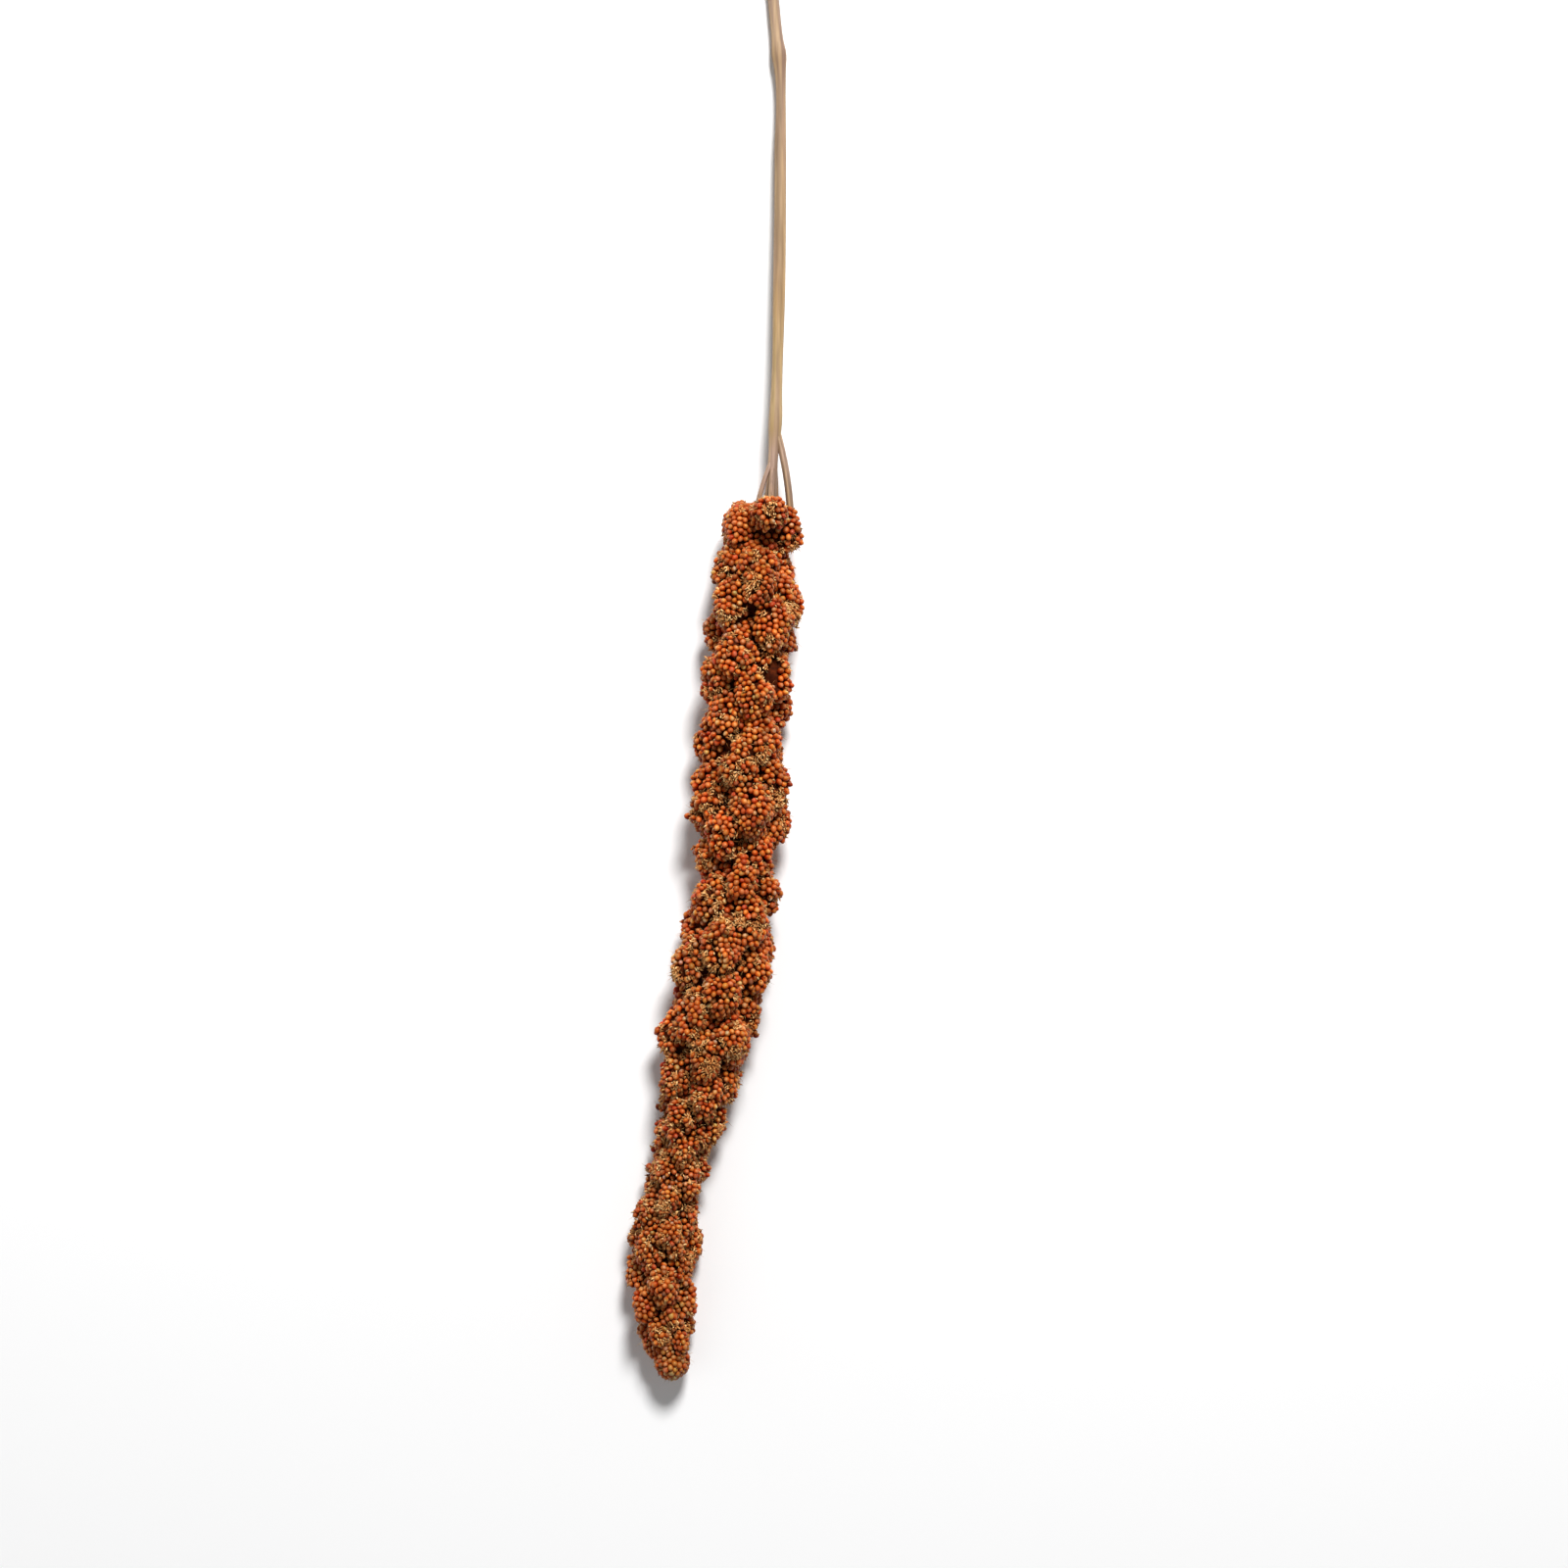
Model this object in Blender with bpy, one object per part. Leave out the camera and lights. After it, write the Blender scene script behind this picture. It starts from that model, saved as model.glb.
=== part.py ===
"""A seed head of foxtail millet, cut with its stem and lying on a surface. Metres, +Z up.

The head lies along Y, with its tip at -Y and the cut end of the stem at +Y. The stem goes on inside the
head as its axis. The grain clusters stand round that axis as lobes, grown together into one body, and the
grains are raised from its surface by a formula, larger than life.
"""

import math
import random

import bmesh
import bpy
import numpy as np
from mathutils import Matrix, Vector

MM = 0.001
SEED = 11
MIDDLE = (0.65, 1.3)  # x and y of the middle of the whole object as drawn below: it is moved to the origin

# The head from its shoulder to its tip: y, x of the middle, height of the middle, and outer radius, in mm.
HEAD_LINE = (
    (35, 12.9, 11.1, 8.6),
    (25, 12.9, 11.2, 11.0),
    (12, 12.2, 11.3, 12.5),
    (-5, 10.1, 11.3, 12.7),
    (-25, 9.2, 11.2, 12.0),
    (-42, 8.1, 11.2, 14.0),
    (-63, 7.0, 11.1, 11.3),
    (-82, 4.8, 11.1, 13.3),
    (-105, -0.2, 10.7, 12.3),
    (-123, -3.8, 9.6, 10.7),
    (-145, -8.8, 8.4, 8.8),
    (-160, -11.9, 8.3, 10.1),
    (-178, -13.1, 7.9, 8.8),
    (-192, -11.4, 7.2, 6.4),
    (-200, -10.0, 6.9, 3.6),
)
SHOULDER_Y = 35.0
SHOULDER_ROUND = 8.6
TIP_Y = -200.0
TIP_ROUND = 5.0

# Clusters of grain: egg-shaped lobes in a ring on the shoulder, then in a spiral round the axis to the tip.
# Their sizes, and the step from one to the next, are shares of the head's radius.
SHOULDER_LOBES_Y = 26.0
SHOULDER_TURNS = (10, 142, 200, 262, 322)
FIRST_LOBE_Y = 16.4
LAST_LOBE_Y = -191.0
LOBE_STEP = 0.182
LOBE_TURN = math.radians(137.5)
FIRST_TURN = math.radians(177)
LOBE_LENGTH = 0.61  # half of it, like the two below
LOBE_WIDTH = 0.42
LOBE_DEPTH = 0.37
LOBE_DROOP = math.radians(13)
CORE = 0.56
# How far chance may change a lobe: its turn either way, its size, how proud it stands, its shift either way
# along the head, and its droop.
TURN_SPREAD = 0.16
SIZE_RANGE = (0.90, 1.06)
PROUD_RANGE = (-0.05, 0.04)
SHIFT_SPREAD = 0.10
DROOP_RANGE = (0.5, 1.5)
# Round clusters: the free one on the shoulder, then two that fill out the tip. x, y, z and radius, in mm.
BALLS = (
    (15.4, 29.0, 20.4, 4.8),
    (-10.4, -195.2, 7.0, 3.7),
    (-13.9, -191.0, 6.8, 4.6),
)

# Grains, larger than life: a bump on every third point of a net of triangles. Heights are in mm.
NET_COLUMNS = 36
NET_ROWS = 144
GRAIN_EVERY = 3
GRAIN_RISE = 0.54
SEAM_DROP = 0.81
RISE_SPREAD = 0.25
FULL_BUMP_AT = 10.5  # from the axis, in mm: nearer to it the bumps are lower, as they are narrower
BUMP_RANGE = (0.2, 1.1)  # the least and the most that a bump is scaled by for that
# Steps along the rounded ends and the straight middle when the rings of the net are spaced evenly.
FAN_STEPS = 60
MIDDLE_STEPS = 600
LEAST_FALL = 1e-9  # keeps a level ray from dividing by nothing

# The stem from its cut end to the head, then the axis inside the head: y, x, z and radius, in mm.
STEM_LINE = (
    (201.5, 13.9, 1.60, 1.60),
    (193, 14.6, 1.65, 1.60),
    (180, 15.4, 2.0, 1.55),
    (166, 16.6, 2.6, 1.50),
    (157, 17.5, 3.0, 1.62),
    (153, 17.9, 3.2, 2.00),
    (149, 18.2, 3.4, 1.60),
    (125, 18.3, 4.7, 1.55),
    (90, 18.0, 6.8, 1.60),
    (62, 17.3, 8.9, 1.50),
    (54, 17.0, 9.5, 1.75),
    (46, 16.5, 10.2, 1.30),
    (37, 15.9, 10.9, 1.45),
    (24, 14.6, 11.3, 1.50),
    (5, 11.9, 11.4, 1.40),
    (-25, 9.4, 11.2, 1.30),
    (-63, 7.2, 11.1, 1.15),
    (-105, -0.2, 10.7, 1.00),
    (-145, -8.6, 8.6, 0.85),
    (-170, -12.6, 8.1, 0.70),
)
# Stalks that leave the stem below the head: where they start on y, where they end in a lobe, and radius.
# The third is the thick branch at the stem's fork.
STALKS = (
    (45.0, (11.2, 26.0, 15.0), 0.62),
    (43.0, (15.4, 27.5, 18.4), 0.62),
    (53.5, (21.2, 26.0, 12.4), 0.95),
    (47.0, (17.0, 26.0, 5.4), 0.62),
)
STALK_BOW = 0.9
STALK_POINTS = 6
# Stations along the stem: from y, down to y, step. Close where it swells at its node, wide inside the head.
STEM_STATIONS = (
    (201.5, 160.0, 6.0),
    (159.5, 146.0, 2.2),
    (142.0, 40.0, 7.0),
    (37.0, -170.0, 9.0),
)
TUBE_RESOLUTION = 2
WELD = 0.01
GAP = 0.3

# Colour, roughness, and the angle in degrees past which an edge stays sharp.
GRAIN_FINISH = ((0.44, 0.085, 0.014), 0.45, 12)
STRAW_FINISH = ((0.48, 0.33, 0.20), 0.6, 50)


def clear_scene():
    for obj in list(bpy.data.objects):
        bpy.data.objects.remove(obj)


def finish(obj, name, colour, roughness, sharpest):
    """Gives an object its own material, and smooth shading where its faces meet at less than an angle."""
    made = bpy.data.materials.new(name)
    made.use_nodes = True
    shader = made.node_tree.nodes["Principled BSDF"]
    shader.inputs["Base Color"].default_value = (*colour, 1)
    shader.inputs["Roughness"].default_value = roughness
    shader.inputs["Metallic"].default_value = 0
    made.diffuse_color = (*colour, 1)
    obj.data.materials.clear()
    obj.data.materials.append(made)
    obj.data.shade_smooth()
    obj.data.set_sharp_from_angle(angle=math.radians(sharpest))


def smooth_line(line, places):
    """The values of a line's points at these y, on a smooth curve through the points."""
    points = np.array(sorted(line), float)
    knots = points[:, 0]
    values = points[:, 1:]
    slopes = np.gradient(values, knots, axis=0)
    places = np.clip(np.asarray(places, float), knots[0], knots[-1])
    left = np.clip(np.searchsorted(knots, places) - 1, 0, len(knots) - 2)
    width = (knots[left + 1] - knots[left])[:, None]
    t = ((places - knots[left]) / width[:, 0])[:, None]
    start = (2 * t**3 - 3 * t**2 + 1) * values[left] + (t**3 - 2 * t**2 + t) * width * slopes[left]
    end = (3 * t**2 - 2 * t**3) * values[left + 1] + (t**3 - t**2) * width * slopes[left + 1]
    return start + end


def axis_at(places):
    """Points on the head's middle line, its direction towards the stem, and its outer radius."""
    places = np.atleast_1d(np.asarray(places, float))
    x, z, radius = smooth_line(HEAD_LINE, places).T
    ahead = smooth_line(HEAD_LINE, places + 1)
    behind = smooth_line(HEAD_LINE, places - 1)
    points = np.stack([x, places, z], 1)
    along = np.stack([ahead[:, 0] - behind[:, 0], np.full(len(x), 2.0), ahead[:, 1] - behind[:, 1]], 1)
    along /= np.linalg.norm(along, axis=1)[:, None]
    return points, along, radius


def square_to(along):
    """Two directions square to these: sideways, and as near to up as can be."""
    side = np.cross(along, (0.0, 0.0, 1.0))
    side /= np.linalg.norm(side, axis=1)[:, None]
    return side, np.cross(side, along)


def lobe(y, turn, draw):
    """Middle, three directions and three half sizes of one cluster of grain."""
    point, along, radius = (value[0] for value in axis_at(y))
    side, up = (value[0] for value in square_to(along[None]))
    angle = turn + draw.uniform(-TURN_SPREAD, TURN_SPREAD)
    size = radius * draw.uniform(*SIZE_RANGE)
    out = side * math.cos(angle) + up * math.sin(angle)
    proud = radius * draw.uniform(*PROUD_RANGE)
    shift = radius * draw.uniform(-SHIFT_SPREAD, SHIFT_SPREAD)
    middle = point + out * (radius + proud - size * LOBE_DEPTH) + along * shift
    droop = LOBE_DROOP * draw.uniform(*DROOP_RANGE)
    lengthwise = along * math.cos(droop) - out * math.sin(droop)
    outwards = out * math.cos(droop) + along * math.sin(droop)
    across = np.cross(lengthwise, outwards)
    return middle, (lengthwise, across, outwards), (size * LOBE_LENGTH, size * LOBE_WIDTH, size * LOBE_DEPTH)


def lobes():
    """All the clusters of grain: the balls, the ring on the shoulder and the spiral."""
    draw = random.Random(SEED)
    found = [(np.array(ball[:3]), tuple(np.eye(3)), (ball[3],) * 3) for ball in BALLS]
    found += [lobe(SHOULDER_LOBES_Y, math.radians(turn), draw) for turn in SHOULDER_TURNS]
    y = FIRST_LOBE_Y
    turn = FIRST_TURN
    while y > LAST_LOBE_Y:
        found.append(lobe(y, turn, draw))
        y -= LOBE_STEP * axis_at(y)[2][0]
        turn += LOBE_TURN
    return found


def reach(origins, directions, found):
    """How far each ray goes from the axis before it leaves the last lobe that it meets, or 0."""
    furthest = np.zeros(len(origins))
    for middle, axes, halves in found:
        frame = np.array(axes) / np.array(halves)[:, None]
        start = (origins - middle) @ frame.T
        step = directions @ frame.T
        square = (step * step).sum(1)
        slope = (start * step).sum(1)
        inside = slope**2 - square * ((start * start).sum(1) - 1)
        distance = (np.sqrt(np.maximum(inside, 0)) - slope) / square
        furthest = np.maximum(furthest, np.where(inside > 0, distance, 0))
    return furthest


def ring_places():
    """Where on the axis each ring of rays starts, and its lean: fanned out over both ends of the head."""
    shoulder = SHOULDER_Y - SHOULDER_ROUND
    tip = TIP_Y + TIP_ROUND
    fan = np.linspace(0, math.pi / 2, FAN_STEPS)
    middle = np.linspace(shoulder, tip, MIDDLE_STEPS)
    start = np.concatenate([np.full(FAN_STEPS, shoulder), middle, np.full(FAN_STEPS, tip)])
    lean = np.concatenate([fan[::-1], np.zeros(MIDDLE_STEPS), -fan])
    radius = axis_at((start[1:] + start[:-1]) / 2)[2]
    step = np.abs(np.diff(start)) / radius + np.abs(np.diff(lean))
    travelled = np.concatenate([[0], np.cumsum(step)])
    wanted = np.linspace(0, travelled[-1], NET_ROWS + 1)
    return np.interp(wanted, travelled, start), np.interp(wanted, travelled, lean)


def net_sphere():
    """A sphere whose odd rings are turned by half a column, so that its faces are even triangles."""
    net = bmesh.new()
    bmesh.ops.create_uvsphere(net, u_segments=NET_COLUMNS, v_segments=NET_ROWS, radius=1)
    ring = net.verts.layers.int.new("ring")
    column = net.verts.layers.int.new("column")
    for vert in net.verts:
        vert[ring] = round(math.acos(max(-1, min(1, vert.co.z))) / math.pi * NET_ROWS)
        turn = math.atan2(vert.co.y, vert.co.x) % math.tau
        vert[column] = round(turn / math.tau * NET_COLUMNS) % NET_COLUMNS
        if vert[ring] % 2 and vert[ring] < NET_ROWS:
            half_column = math.pi / NET_COLUMNS
            across = math.hypot(vert.co.x, vert.co.y)
            vert.co.x = across * math.cos(turn + half_column)
            vert.co.y = across * math.sin(turn + half_column)
    bmesh.ops.triangulate(net, faces=net.faces, quad_method="SHORT_EDGE")
    return net, ring, column


def seed_head_mesh():
    """The head without its bores: the lobes' outer surface as seen from the axis, with the grains on it."""
    draw = random.Random(SEED + 1)
    net, ring, column = net_sphere()
    starts, leans = ring_places()
    rings = np.array([vert[ring] for vert in net.verts])
    columns = np.array([vert[column] for vert in net.verts])
    points, along, radius = axis_at(starts[rings])
    side, up = square_to(along)
    turns = (math.tau * (columns + 0.5 * (rings % 2)) / NET_COLUMNS)[:, None]
    lean = leans[rings][:, None]
    flat = side * np.cos(turns) + up * np.sin(turns)
    rays = flat * np.cos(lean) + along * np.sin(lean)
    distance = np.maximum(reach(points, rays, lobes()), CORE * radius)
    grain = (columns - rings // 2 - rings) % GRAIN_EVERY == 0
    spread = np.array([draw.uniform(1 - RISE_SPREAD, 1 + RISE_SPREAD) for vert in net.verts])
    bump = np.clip(distance * np.cos(lean[:, 0]) / FULL_BUMP_AT, *BUMP_RANGE)
    distance += bump * np.where(grain, GRAIN_RISE * spread, -SEAM_DROP)
    down = np.minimum(rays[:, 2], -LEAST_FALL)
    distance = np.where(rays[:, 2] < 0, np.minimum(distance, -points[:, 2] / down), distance)
    places = (points + rays * distance[:, None]) * MM
    for vert, place in zip(net.verts, places):
        vert.co = place
    bmesh.ops.recalc_face_normals(net, faces=net.faces)
    mesh = bpy.data.meshes.new("seed_head")
    net.to_mesh(mesh)
    net.free()
    return mesh


def tube(name, points, radii, collection):
    """A tube through these points in mm, made a closed mesh."""
    curve = bpy.data.curves.new(name, "CURVE")
    curve.dimensions = "3D"
    curve.bevel_depth = MM
    curve.bevel_resolution = TUBE_RESOLUTION
    curve.use_fill_caps = True
    spline = curve.splines.new("POLY")
    spline.points.add(len(points) - 1)
    for spot, point, radius in zip(spline.points, points, radii):
        spot.co = (*(Vector(point) * MM), 1)
        spot.radius = radius
    drawn = bpy.data.objects.new(name + "_curve", curve)
    collection.objects.link(drawn)
    mesh = bpy.data.meshes.new_from_object(drawn.evaluated_get(bpy.context.evaluated_depsgraph_get()))
    bpy.data.objects.remove(drawn)
    shape = bmesh.new()
    shape.from_mesh(mesh)
    bmesh.ops.remove_doubles(shape, verts=shape.verts, dist=WELD * MM)
    bmesh.ops.recalc_face_normals(shape, faces=shape.faces)
    shape.to_mesh(mesh)
    shape.free()
    mesh.name = name
    obj = bpy.data.objects.new(name, mesh)
    collection.objects.link(obj)
    return obj


def stem_point(y):
    x, z, radius = smooth_line(STEM_LINE, [y])[0]
    return np.array((x, y, z)), radius


def stem_places():
    """Stations along the stem and the axis, from the cut end to the axis's last point."""
    stations = [np.arange(start, end, -step) for start, end, step in STEM_STATIONS]
    return np.concatenate([*stations, [STEM_LINE[-1][0]]])


def stem_tubes(extra, collection):
    """The stem with its axis, and the stalks, each thicker by this much and longer at its inner end."""
    places = stem_places()
    points = [stem_point(y)[0] for y in places]
    radii = [stem_point(y)[1] + extra for y in places]
    points[-1] = points[-1] - np.array((0.0, extra, 0.0))
    made = [tube("stem", points, radii, collection)]
    for number, (start_y, end, radius) in enumerate(STALKS):
        start = stem_point(start_y)[0]
        end = np.array(end)
        step = (end - start) / np.linalg.norm(end - start)
        end = end + step * extra
        out = end - stem_point(end[1])[0]
        out /= np.linalg.norm(out)
        steps = np.linspace(0, 1, STALK_POINTS)
        route = [start + (end - start) * t + out * STALK_BOW * math.sin(math.pi * t) for t in steps]
        made.append(tube(f"stalk_{number}", route, [radius + extra] * len(route), collection))
    return made


def join(pieces, collection):
    """One closed body from the first piece and the others, which go."""
    first = pieces[0]
    others = bpy.data.collections.new("joined")
    bpy.context.scene.collection.children.link(others)
    for piece in pieces[1:]:
        collection.objects.unlink(piece)
        others.objects.link(piece)
    union = first.modifiers.new("union", "BOOLEAN")
    union.operation = "UNION"
    union.operand_type = "COLLECTION"
    union.collection = others
    apply_modifiers(first)
    for piece in list(others.objects):
        bpy.data.objects.remove(piece)
    bpy.data.collections.remove(others)
    return first


def apply_modifiers(obj):
    mesh = bpy.data.meshes.new_from_object(obj.evaluated_get(bpy.context.evaluated_depsgraph_get()))
    obj.modifiers.clear()
    obj.data = mesh


def build():
    clear_scene()
    parts = bpy.data.collections.new("millet_seed_head")
    cutters = bpy.data.collections.new("cutters")
    for collection in (parts, cutters):
        bpy.context.scene.collection.children.link(collection)

    stem = join(stem_tubes(0.0, parts), parts)
    bore = join(stem_tubes(GAP, cutters), cutters)
    bore.name = "bore"
    bore.hide_render = True
    bore.display_type = "WIRE"

    head = bpy.data.objects.new("seed_head", seed_head_mesh())
    parts.objects.link(head)
    cut = head.modifiers.new("stem bore", "BOOLEAN")
    cut.operation = "DIFFERENCE"
    cut.object = bore

    to_origin = Matrix.Translation((-MIDDLE[0] * MM, -MIDDLE[1] * MM, 0))
    for obj in (stem, head, bore):
        obj.data.transform(to_origin)
    finish(stem, "straw", *STRAW_FINISH)
    finish(head, "grain", *GRAIN_FINISH)


build()
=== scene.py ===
"""Looks of a ripe foxtail millet head: grains, husks, bristles and its dry stem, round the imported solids.

Lengths here are millimetres, in the places where the solids' source draws them. They become metres, in the
frame, when a mesh is made.
"""

import math
import random

import bmesh
import bpy
import numpy as np
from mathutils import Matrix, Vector, kdtree, noise


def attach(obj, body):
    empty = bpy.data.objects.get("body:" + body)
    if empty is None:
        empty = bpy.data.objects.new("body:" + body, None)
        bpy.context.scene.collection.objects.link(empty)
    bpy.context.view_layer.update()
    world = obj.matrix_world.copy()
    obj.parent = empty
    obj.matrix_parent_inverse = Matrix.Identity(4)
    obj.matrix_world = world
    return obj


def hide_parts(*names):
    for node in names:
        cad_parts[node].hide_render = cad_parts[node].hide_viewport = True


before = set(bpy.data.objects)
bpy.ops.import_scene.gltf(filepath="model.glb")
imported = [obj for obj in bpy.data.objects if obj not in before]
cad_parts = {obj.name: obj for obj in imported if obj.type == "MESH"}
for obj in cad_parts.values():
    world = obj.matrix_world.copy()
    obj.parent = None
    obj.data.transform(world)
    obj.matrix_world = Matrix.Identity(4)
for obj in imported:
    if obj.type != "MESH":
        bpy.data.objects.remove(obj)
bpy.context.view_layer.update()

MM = 0.001
SEED = 11
MIDDLE = (0.65, 1.3)

# The head from its shoulder to its tip: y, x of the middle, height of the middle, and outer radius.
HEAD_LINE = (
    (35, 12.9, 11.1, 8.6),
    (25, 12.9, 11.2, 11.0),
    (12, 12.2, 11.3, 12.5),
    (-5, 10.1, 11.3, 12.7),
    (-25, 9.2, 11.2, 12.0),
    (-42, 8.1, 11.2, 14.0),
    (-63, 7.0, 11.1, 11.3),
    (-82, 4.8, 11.1, 13.3),
    (-105, -0.2, 10.7, 12.3),
    (-123, -3.8, 9.6, 10.7),
    (-145, -8.8, 8.4, 8.8),
    (-160, -11.9, 8.3, 10.1),
    (-178, -13.1, 7.9, 8.8),
    (-192, -11.4, 7.2, 6.4),
    (-200, -10.0, 6.9, 3.6),
)
SHOULDER_Y = 35.0
SHOULDER_ROUND = 8.6
TIP_Y = -200.0
TIP_ROUND = 5.0

# Clusters of grain, as shares of the head's radius, and how far chance changes them.
SHOULDER_LOBES_Y = 26.0
SHOULDER_TURNS = (10, 142, 200, 262, 322)
FIRST_LOBE_Y = 16.4
LAST_LOBE_Y = -191.0
LOBE_STEP = 0.182
LOBE_TURN = math.radians(137.5)
FIRST_TURN = math.radians(177)
LOBE_LENGTH = 0.61
LOBE_WIDTH = 0.42
LOBE_DEPTH = 0.37
LOBE_DROOP = math.radians(13)
CORE = 0.56
TURN_SPREAD = 0.16
SIZE_RANGE = (0.90, 1.06)
PROUD_RANGE = (-0.05, 0.04)
SHIFT_SPREAD = 0.10
DROOP_RANGE = (0.5, 1.5)
# Round clusters on the shoulder and at the tip: x, y, z and radius. The second is a little fuller than in
# the solids, so that the tip is as blunt as in the photograph.
BALLS = (
    (15.4, 29.0, 20.4, 4.8),
    (-10.5, -195.8, 7.0, 4.7),
    (-13.9, -191.0, 6.8, 4.6),
)

# The stem from its cut end to the head, then the axis inside the head: y, x, z and radius.
STEM_LINE = (
    (201.5, 13.9, 1.60, 1.60),
    (193, 14.6, 1.65, 1.60),
    (180, 15.4, 2.0, 1.55),
    (166, 16.6, 2.6, 1.50),
    (157, 17.5, 3.0, 1.62),
    (153, 17.9, 3.2, 2.00),
    (149, 18.2, 3.4, 1.60),
    (125, 18.3, 4.7, 1.55),
    (90, 18.0, 6.8, 1.60),
    (62, 17.3, 8.9, 1.50),
    (54, 17.0, 9.5, 1.75),
    (46, 16.5, 10.2, 1.30),
    (37, 15.9, 10.9, 1.45),
    (24, 14.6, 11.3, 1.50),
    (5, 11.9, 11.4, 1.40),
    (-25, 9.4, 11.2, 1.30),
    (-63, 7.2, 11.1, 1.15),
    (-105, -0.2, 10.7, 1.00),
    (-145, -8.6, 8.6, 0.85),
    (-170, -12.6, 8.1, 0.70),
)
# Stalks that leave the stem below the head: where they start on y, where they end in a lobe, and radius.
STALKS = (
    (45.0, (11.2, 26.0, 15.0), 0.62),
    (43.0, (15.4, 27.5, 18.4), 0.62),
    (53.5, (21.2, 26.0, 12.4), 0.95),
    (47.0, (17.0, 26.0, 5.4), 0.62),
)
STALK_BOW = 0.9
# Rings along the stem, close outside the head and wider inside it: from y, down to y, step.
STEM_STATIONS = (
    (201.5, 20.0, 1.0),
    (18.0, -170.0, 4.0),
)
STEM_SIDES = 30
STEM_RIB = 0.035
STEM_RIBS = 10
# The cut end: width of the hard rim's inner edge and of the pith, as shares of the stem's, and how far back
# the pith lies.
RIM_WIDTH = 0.66
PITH_WIDTH = 0.60
PITH_DEPTH = 0.5
# Each stalk is three strands side by side: sides and ribs of a strand, points along it, how far the outer
# two stand from the middle one at the start, how much further at the end, and the radii, as shares.
STRAND_SIDES = 12
STRAND_RIB = 0.06
STRAND_RIBS = 4
STRAND_POINTS = 24
STRAND_SPREAD = 0.45
STRAND_SPREADING = 0.35
MIDDLE_STRAND = 0.95
OUTER_STRAND = 0.55

# The net of rays from the axis to the lobes: columns, rings, the furthest that a ray leans over the head's
# ends, and the steps that space the rings evenly.
COLUMNS = 104
RINGS = 500
WIDEST_LEAN = math.radians(86)
FAN_STEPS = 60
MIDDLE_STEPS = 600
# A point's valley depth is how far it lies below the mean of the points this many rings and columns away.
VALLEY_RINGS = 4
VALLEY_COLUMNS = 3
# Noise that makes the lobes less regular: spots a mm and height.
LOBE_NOISE = ((0.14, 1.3), (0.33, 0.7))
# Each lobe is made of small clumps: their size, how much they differ in height, a number that spreads their
# centres to give each its own height, the half width of the groove between two as a share of their size,
# its depth, and the spots a mm and the strength of the noise that opens and closes it.
CLUMP_SIZE = 7.4
CLUMP_RISE = 0.8
CLUMP_KEY = 9.7
GROOVE_WIDTH = 0.30
GROOVE_DEPTH = 1.8
GROOVE_SPOTS = 0.17
GROOVE_SPREAD = 2.0
# Grains are left out where a groove is this open: y, then how open.
GROOVE_BARE = ((-165.0, -140.0), (0.97, 0.55))
# All this relief fades towards both ends of the head: y, then share.
RELIEF_FADE = ((-200.0, -182.0, 20.0, 34.0), (0.15, 1.0, 1.0, 0.3))
# How much of each valley between lobes is filled with grain, at places along the head: y, then share.
VALLEY_FILL = ((-160.0, -135.0, -100.0, 30.0), (0.9, 0.75, 0.55, 0.45))
# Valleys deeper than this hold no grain and stay as dark holes: y, then depth.
DEEPEST_VALLEY = ((-150.0, -110.0), (2.5, 1.0))

# The bed under the grains: how far it is sunk, the height of its roughness and the spots a mm of that, its
# least height over the floor, and the least half size that a sunk lobe keeps.
BED_SINK = 1.35
BED_ROUGH = 0.3
BED_NOISE = 1.1
BED_LOWEST = 0.8
LEAST_LOBE = 0.8

# Grains: half width, half thickness and half length of one, how far chance changes its size, and how small
# it is along the head (y, then share), then how the grains lie on the surface.
GRAIN_HALVES = (0.88, 0.82, 1.06)
GRAIN_SIZES = (0.86, 1.12)
GRAIN_SHRINK = ((-172.0, -160.0, -125.0, -105.0), (1.0, 0.88, 0.88, 1.0))
GRAIN_SINK = 0.42
GRAIN_SINK_SPREAD = 0.16
GRAIN_LEAN = 0.5
GRAIN_TILT = 0.30
GRAIN_PIECES = 10
# The lowest that a grain's middle may be, as a share of its half thickness.
GRAIN_LOWEST = (0.88, 1.01)
# How much a grain narrows to its tip and to its base, and the dark spot at its tip: from how far along, and
# how dark.
TIP_TAPER = 0.20
BASE_TAPER = 0.10
TIP_SPOT_FROM = 0.93
TIP_SPOT_SHADE = 0.72
# Grains start at places picked by chance and are then pushed apart: how far they start from the net's
# points, the least distance at the start, the distance at which two push, how hard, the rounds of pushing,
# and the least distance at the end.
START_SPREAD = 0.3
START_APART = 1.26
PUSH_REACH = 1.86
PUSH_SHARE = 0.32
PUSH_ROUNDS = 8
END_APART = 1.15
# A grain with no more than this many within this distance of it, itself among them, is dropped.
COMPANY_REACH = 2.7
LEAST_COMPANY = 4

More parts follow.
